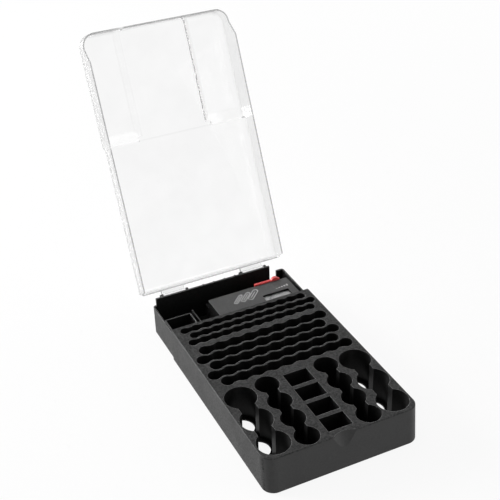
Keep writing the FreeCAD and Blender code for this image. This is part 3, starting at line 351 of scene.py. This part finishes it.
def resistor_lacquer():
    """Beige baked lacquer over a resistor's body: satin, slightly lumpy."""
    material, shader, place = finish("beige_baked_lacquer", {"IOR": 1.5})
    tree = material.node_tree
    lumps = patches(tree, place, size_mm=1.2, detail=3)
    varied(shader, lumps, ("#c9ab7c", "#d8bf96"), roughness=(0.3, 0.45))
    bump = add(tree, "ShaderNodeBump", {"Height": lumps[0], "Distance": 0.05 * MM})
    feed(shader, {"Normal": bump.outputs[0]})
    return material


# Metals and ferrite

def metal(name, colour, tarnish, roughness, stretch):
    """Bare metal with fine lines along the way it was drawn or rolled, and a duller patchy skin.

    The real lines are finer than 0.1 mm; they are drawn at 0.25 mm so that they show.
    """
    material, shader, place = finish(name, {"Metallic": 1.0})
    tree = material.node_tree
    skin = patches(tree, place, size_mm=4, detail=4, span=(0.35, 0.75))
    varied(shader, skin, (colour, tarnish), roughness)
    along = add(tree, "ShaderNodeMapping", {"Vector": place, "Scale": stretch}).outputs[0]
    lines = add(tree, "ShaderNodeTexNoise", {
        "Vector": along, "Scale": per_size(0.25), "Detail": 2, "Roughness": NOISE_ROUGHNESS,
    }).outputs["Fac"]
    bump = add(tree, "ShaderNodeBump", {"Height": lines, "Distance": 0.01 * MM})
    feed(shader, {"Normal": bump.outputs[0]})
    return material


def drawn_steel():
    """Drawn steel wire, bright zinc plated: cool grey with faint lines along its length."""
    return metal("zinc_plated_steel", "#b9bcc0", "#9a9da2", roughness=(0.22, 0.38), stretch=(0.1, 1, 1))


def rolled_brass():
    """Rolled brass strip: warm yellow, gone a little brown."""
    return metal("rolled_brass", "#d8b765", "#b08f4a", roughness=(0.24, 0.4), stretch=(1, 0.1, 0.1))


# How far from the middle of a pit its painted shade starts to fade, and where the ceramic is at its palest
PIT_SPAN = (0.1, 0.6)


def ferrite():
    """Sintered ferrite: a dull dark grey ceramic with fine pits, drawn at 0.5 mm so that they show, and shade
    painted darker in the middle of each pit.
    """
    material, shader, place = finish("sintered_ferrite", {"IOR": 2.3})
    tree = material.node_tree
    pits = add(tree, "ShaderNodeTexVoronoi", {"Vector": place, "Scale": per_size(0.5)}).outputs["Distance"]
    share = add(tree, "ShaderNodeMapRange", {
        "Value": pits, "From Min": PIT_SPAN[0], "From Max": PIT_SPAN[1],
    }).outputs[0]
    varied(shader, (pits, share), ("#26272a", "#3b3c40"), roughness=(0.55, 0.7), gloss_span=PIT_SPAN)
    bump = add(tree, "ShaderNodeBump", {"Height": pits, "Distance": 0.03 * MM})
    feed(shader, {"Normal": bump.outputs[0]})
    return material


def enamelled_copper():
    """Copper wire under clear amber enamel, wound in level turns, with shade painted dark in the grooves
    between turns and light painted on their crowns.

    The real wire is about 0.05 mm; its turns are drawn 0.4 mm apart so that they show.
    """
    material, shader, place = finish("enamelled_copper_wire", {
        "Metallic": 1.0, "Roughness": 0.3, "Coat Weight": 0.8,
    })
    tree = material.node_tree
    turns = add(tree, "ShaderNodeTexWave", {
        "Vector": place, "Scale": per_size(0.4) / math.pi, "Distortion": 0.4, "Detail": 1,
    }, bands_direction="Z").outputs["Fac"]
    # Painted shade in the grooves between turns and painted light on their crowns, following the same waves
    # as the bump
    tone = add(tree, "ShaderNodeMix", {
        MIX_SHARE: turns, MIX_FIRST: linear("#6d3014"), MIX_SECOND: linear("#c4713a"),
    }, data_type="RGBA")
    bump = add(tree, "ShaderNodeBump", {"Height": turns, "Distance": 0.1 * MM})
    feed(shader, {"Base Color": tone.outputs[MIX_RESULT], "Normal": bump.outputs[0]})
    return material


# Which finish each face of the CAD's nodes has

TEXTURED, POLISHED, SATIN = range(3)
# A face belongs to an outer side of its part when its middle is this near that side
FACE_DEPTH = 0.6 * MM
DECK_FACE_DEPTH = 2 * FACE_DEPTH
CORNER_REACH = 13.5 * MM
SCOOP_REACH = 9.0 * MM
# A face looks a certain way when its normal's part along that way is over this
LOOKS_OUT = 0.3
LOOKS_TO_FRONT = 0.4
LOOKS_UP_OR_DOWN = 0.5
DECK_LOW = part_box("tray_d_bank_left")[0]
DECK_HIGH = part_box("tray_d_bank_right")[1]
CUP_LOW, CUP_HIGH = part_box("coin_cell_cup")
TESTER_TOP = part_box("tester_front_case")[1].z


def dress(node, *materials):
    """Give a CAD node its materials."""
    slots = NODES[node].data.materials
    slots.clear()
    for material in materials:
        slots.append(material)


def deck_finish(at, way):
    """The pocketed part is textured on top and at its sides, satin in front and polished in its pockets."""
    side = DECK_HIGH.x - abs(at.x)
    outward = way.x * math.copysign(1, at.x)
    from_front = at.y - DECK_LOW.y
    on_top = at.z > DECK_HIGH.z - DECK_FACE_DEPTH
    on_side = side < DECK_FACE_DEPTH and outward > LOOKS_OUT
    on_corner = side < CORNER_REACH and from_front < CORNER_REACH and outward > 0 and way.y < 0
    under = at.z < DECK_LOW.z + FACE_DEPTH
    if from_front < SCOOP_REACH and way.y < -LOOKS_TO_FRONT and not on_top:
        return SATIN
    return TEXTURED if on_top or on_side or on_corner or under else POLISHED


def bay_finish(at, way):
    """The bay's outer walls are textured; its floor and the front of its back wall are polished."""
    on_side = abs(at.x) > -CUP_LOW.x - FACE_DEPTH and abs(way.x) > LOOKS_OUT
    on_rim = at.z > CUP_HIGH.z - FACE_DEPTH and way.z > LOOKS_UP_OR_DOWN
    behind = way.y > LOOKS_OUT
    under = way.z < -LOOKS_UP_OR_DOWN
    return TEXTURED if on_side or on_rim or behind or under else POLISHED


def textured_above(level):
    """Textured where a face lies over a level, polished under it."""
    return lambda at, way: TEXTURED if at.z > level else POLISHED


def finished(node, choose):
    """Give each face of a node the finish that its middle and its normal ask for."""
    for face in NODES[node].data.polygons:
        face.material_index = choose(face.center, face.normal)


textured = textured_abs()
polished = polished_abs()
satin = satin_abs()
steel = drawn_steel()
brass = rolled_brass()

for node in TRAY_NODES + ("coin_cell_cup",):
    dress(node, textured, polished, satin)
for node in TRAY_NODES[:-1]:
    finished(node, deck_finish)
finished("tray_tester_bay", bay_finish)
finished("coin_cell_cup", textured_above(CUP_HIGH.z - FACE_DEPTH))

dress("lid", clear_styrene())
dress("tester_front_case", charcoal_abs(), polished)
finished("tester_front_case", textured_above(TESTER_TOP - FACE_DEPTH))
dress("tester_rear_case", polished)
dress("slide_arm", red_abs())
dress("gauge_window", clear_acrylic())
dress("gauge_dial", printed_card())
dress("gauge_needle", ink("black_lacquered_aluminium", "#101010", "#1c1c1c"))
dress("moving_coil", enamelled_copper())
dress("gauge_magnet", ferrite())
dress("circuit_board", paper_laminate())
dress("load_resistors", resistor_lacquer())
for node in ("hinge_pins", "tester_screws", "needle_shaft", "gauge_yoke", "gauge_bridge"):
    dress(node, steel)
for node in ("slide_contact", "contact_rail", "fixed_contact", "square_battery_contacts"):
    dress(node, brass)


# Print and painted bands: thin coats that stand on the CAD's faces

COAT = 0.05 * MM
COAT_SINK = 0.02 * MM


def own_piece(name, mesh, material, body):
    """Turn a finished bmesh into a piece that rides on a body."""
    bmesh.ops.recalc_face_normals(mesh, faces=mesh.faces)
    data = bpy.data.meshes.new(name)
    mesh.to_mesh(data)
    mesh.free()
    data.materials.append(material)
    piece = bpy.data.objects.new(name, data)
    bpy.context.scene.collection.objects.link(piece)
    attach(piece, body)


def printed(name, outlines, surface, material, body):
    """A print of flat outlines on a level surface."""
    mesh = bmesh.new()
    for outline in outlines:
        face = mesh.faces.new([mesh.verts.new((point.x, point.y, surface - COAT_SINK)) for point in outline])
        grown = bmesh.ops.extrude_face_region(mesh, geom=[face])["geom"]
        corners = [part for part in grown if isinstance(part, bmesh.types.BMVert)]
        bmesh.ops.translate(mesh, verts=corners, vec=(0, 0, COAT + COAT_SINK))
    own_piece(name, mesh, material, body)


def line_through(points, width, closed=False):
    """Four-cornered outlines that draw a line through points, mitred where it turns."""
    sides = []
    for index, point in enumerate(points):
        before = points[index - 1] if closed or index else None
        after = points[(index + 1) % len(points)] if closed or index < len(points) - 1 else None
        out = (after - point).normalized() if after else (point - before).normalized()
        into = (point - before).normalized() if before else out
        along = (into + out).normalized()
        across = Vector((-along.y, along.x)) * width / (2 * along.dot(into))
        sides.append((point + across, point - across))
    following = sides[1:] + sides[:1] if closed else sides[1:]
    return [
        (left, right, next_right, next_left)
        for (left, right), (next_left, next_right) in zip(sides, following)
    ]


# The marks' sizes in millimetres; they start from the front left corner of the tester
MARK_START = (26.5, 14.6)
MARK_STEP = 9.4
MARK_SLANT_DEG = 45
MARK_LENGTHS = (18.5, 19.5, 21.0)
MARK_WIDTHS = (4.0, 4.8, 5.8)
MARK_LINE = 0.8
CAP_LENGTH = 1.6
CAP_SHARE = 0.4


def battery_marks():
    """Three slanting outlines of a cell, one for each group of sizes that the tester takes."""
    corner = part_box("tester_front_case")[0].xy
    slant = Matrix.Rotation(math.radians(MARK_SLANT_DEG), 2)
    outlines = []
    for index, (length, width) in enumerate(zip(MARK_LENGTHS, MARK_WIDTHS)):
        side, cap, shoulder = width / 2, width / 2 * CAP_SHARE, length - CAP_LENGTH
        shape = [
            (0, -side), (shoulder, -side), (shoulder, -cap), (length, -cap),
            (length, cap), (shoulder, cap), (shoulder, side), (0, side),
        ]
        start = Vector((MARK_START[0] + index * MARK_STEP, MARK_START[1])) * MM + corner
        points = [start + slant @ Vector(point) * MM for point in shape]
        outlines += line_through(points, MARK_LINE * MM, closed=True)
        stripe = [start + slant @ Vector((along, 0)) * MM for along in (side, shoulder - side)]
        outlines += line_through(stripe, MARK_LINE * MM)
    return outlines


# The legend's sizes in millimetres, from the same corner
LEGEND_START = (83.0, 19.6)
LEGEND_STEP = 3.6
LEGEND_BARS = 5
LEGEND_GROWTH = 0.7


def charge_legend():
    """Five bars that grow from flat to full, behind the gauge."""
    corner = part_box("tester_front_case")[0].xy
    outlines = []
    for bar in range(LEGEND_BARS):
        foot = Vector((LEGEND_START[0] + bar * LEGEND_STEP, LEGEND_START[1])) * MM + corner
        rise = Vector((0, (bar + 1) * LEGEND_GROWTH)) * MM
        outlines += line_through([foot, foot + rise], LEGEND_STEP * MM / 2)
    return outlines


# The dial's sizes in millimetres
SCALE_RADIUS = 13.0
SCALE_LINE = 0.35
TICK_LENGTHS = (2.4, 1.3)
TICK_TURN_DEG = 8
TICKS_EACH_SIDE = 5


def gauge_scale():
    """An arc with long and short ticks, centred on the needle's shaft."""
    low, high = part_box("needle_shaft")
    centre = Vector(((low.x + high.x) / 2, (low.y + high.y) / 2))
    turns = [math.radians(TICK_TURN_DEG * tick) for tick in range(-TICKS_EACH_SIDE, TICKS_EACH_SIDE + 1)]
    ways = [Vector((math.sin(turn), -math.cos(turn))) for turn in turns]
    outlines = line_through([centre + way * SCALE_RADIUS * MM for way in ways], SCALE_LINE * MM)
    for tick, way in enumerate(ways):
        start = centre + way * SCALE_RADIUS * MM
        reach = TICK_LENGTHS[tick % 2]
        outlines += line_through([start, start + way * reach * MM], SCALE_LINE * MM)
    return outlines


BAND_SHARES = (0.22, 0.42, 0.62, 0.84)
BAND_WIDTH = 0.7 * MM
BAND_COLOURS = (
    ("brown", "#5a2f1c", "#6b3b25"), ("black", "#141414", "#1e1e1e"),
    ("red", "#a32a24", "#b5403a"), ("gold", "#a57c2c", "#b98f3c"),
)
BAND_SIDES = 32
RESISTORS = 3


def resistor_bands():
    """Painted value bands round each resistor, one piece for each colour."""
    low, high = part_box("load_resistors")
    radius = (high.z - low.z) / 2
    pitch = (high.y - low.y - 2 * radius) / (RESISTORS - 1)
    inner, outer = radius - COAT_SINK, radius + COAT
    turns = [2 * math.pi * side / BAND_SIDES for side in range(BAND_SIDES)]
    for (colour_name, colour, worn), share in zip(BAND_COLOURS, BAND_SHARES):
        mesh = bmesh.new()
        middle_x = low.x + share * (high.x - low.x)
        for resistor in range(RESISTORS):
            axis_y, axis_z = low.y + radius + resistor * pitch, low.z + radius
            rings = []
            for end, size in ((-1, inner), (-1, outer), (1, outer), (1, inner)):
                rings.append([mesh.verts.new((
                    middle_x + end * BAND_WIDTH / 2,
                    axis_y + size * math.cos(turn), axis_z + size * math.sin(turn),
                )) for turn in turns])
            for ring, following in zip(rings, rings[1:] + rings[:1]):
                for side in range(BAND_SIDES):
                    after = (side + 1) % BAND_SIDES
                    mesh.faces.new((ring[side], ring[after], following[after], following[side]))
        paint = ink(f"{colour_name}_band_paint", colour, worn)
        own_piece(f"resistor_band_{colour_name}", mesh, paint, "tester")


pale_ink = ink("pale_grey_pad_print", "#c4c4c4", "#8c8c8c")
dial_ink = ink("black_dial_ink", "#262626", "#3a3a3a")
printed("battery_marks", battery_marks(), TESTER_TOP, pale_ink, "tester")
printed("charge_legend", charge_legend(), TESTER_TOP, pale_ink, "tester")
printed("gauge_scale", gauge_scale(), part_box("gauge_dial")[1].z, dial_ink, "tester")
resistor_bands()


# Floor, backdrop and light

FLOOR_REACH = 6.0
# The floor's share of plain white grows with the distance in metres, so its shadow shows only near the object
WHITE_DISTANCES = (0.5, 1.8)
WHITE_SHARES = (0.9, 1.0)


def white_to_the_eye(tree, strength):
    """The share of plain white that the camera, reflections and the view through clear plastic get."""
    path = add(tree, "ShaderNodeLightPath").outputs
    seen = add(tree, "ShaderNodeMath", {
        0: path["Is Camera Ray"], 1: path["Is Glossy Ray"],
    }, operation="ADD").outputs[0]
    seen = add(tree, "ShaderNodeMath", {
        0: seen, 1: path["Is Transmission Ray"],
    }, operation="ADD", use_clamp=True).outputs[0]
    return add(tree, "ShaderNodeMath", {0: seen, 1: strength}, operation="MULTIPLY").outputs[0]


def floor():
    """A pale floor that stays white round the object and keeps its soft shadow."""
    material, shader, place = finish("white_floor", {
        "Base Color": linear("#f2f2f2"), "Roughness": 1.0, "Specular IOR Level": 0.0,
    })
    tree = material.node_tree
    white = add(tree, "ShaderNodeEmission", {"Color": linear("#ffffff"), "Strength": 1.0})
    distance = add(tree, "ShaderNodeVectorMath", {0: place}, operation="LENGTH").outputs["Value"]
    share = add(tree, "ShaderNodeMapRange", {
        "Value": distance, "From Min": WHITE_DISTANCES[0], "From Max": WHITE_DISTANCES[1],
        "To Min": WHITE_SHARES[0], "To Max": WHITE_SHARES[1],
    }).outputs[0]
    surface = add(tree, "ShaderNodeMixShader", {
        0: white_to_the_eye(tree, share), 1: shader.outputs[0], 2: white.outputs[0],
    })
    feed(tree.nodes["Material Output"], {"Surface": surface.outputs[0]})
    corners = [(x * FLOOR_REACH, y * FLOOR_REACH, 0) for x, y in ((-1, -1), (1, -1), (1, 1), (-1, 1))]
    mesh = bpy.data.meshes.new("floor")
    mesh.from_pydata(corners, [], [range(len(corners))])
    mesh.materials.append(material)
    plane = bpy.data.objects.new("floor", mesh)
    bpy.context.scene.collection.objects.link(plane)


def surroundings(strength):
    """An even pale room: white to the eye, softer as a light."""
    world = bpy.data.worlds.new("studio")
    bpy.context.scene.world = world
    world.use_nodes = True
    tree = world.node_tree
    room = tree.nodes["Background"]
    feed(room, {"Color": linear("#ffffff"), "Strength": strength})
    white = add(tree, "ShaderNodeBackground", {"Color": linear("#ffffff"), "Strength": 1.0})
    backdrop = add(tree, "ShaderNodeMixShader", {
        0: white_to_the_eye(tree, 1.0), 1: room.outputs[0], 2: white.outputs[0],
    })
    feed(tree.nodes["World Output"], {"Surface": backdrop.outputs[0]})


def softbox(name, place, side, watts):
    """A square studio lamp that looks at the object."""
    lamp = bpy.data.lights.new(name, "AREA")
    lamp.size = side
    lamp.energy = watts
    box = bpy.data.objects.new(name, lamp)
    box.location = place
    box.rotation_euler = (-Vector(place)).to_track_quat("-Z", "Y").to_euler()
    bpy.context.scene.collection.objects.link(box)


floor()
surroundings(strength=0.28)
softbox("softbox_left", (-2.0, 2.0, 0.9), side=1.6, watts=130)
softbox("softbox_above", (0.0, 0.6, 2.6), side=2.0, watts=12)
softbox("softbox_front", (2.4, -1.8, 0.8), side=1.6, watts=30)


# Camera, at the photograph's viewing angle

PHOTO_SIDE_PX = 500
FOCAL_LENGTH_PX = 1055.0
SENSOR_MM = 36
CAMERA_PLACE_MM = (-402.31, -827.56, 753.68)
CAMERA_TURN_DEG = (57.7987, 1.8585, -25.5662)
camera = bpy.data.cameras.new("camera")
camera.sensor_width = SENSOR_MM
camera.lens = FOCAL_LENGTH_PX * SENSOR_MM / PHOTO_SIDE_PX
viewer = bpy.data.objects.new("camera", camera)
viewer.location = Vector(CAMERA_PLACE_MM) * MM
viewer.rotation_euler = Euler([math.radians(turn) for turn in CAMERA_TURN_DEG], "XYZ")
bpy.context.scene.collection.objects.link(viewer)
bpy.context.scene.camera = viewer
bpy.context.scene.view_settings.view_transform = "Standard"
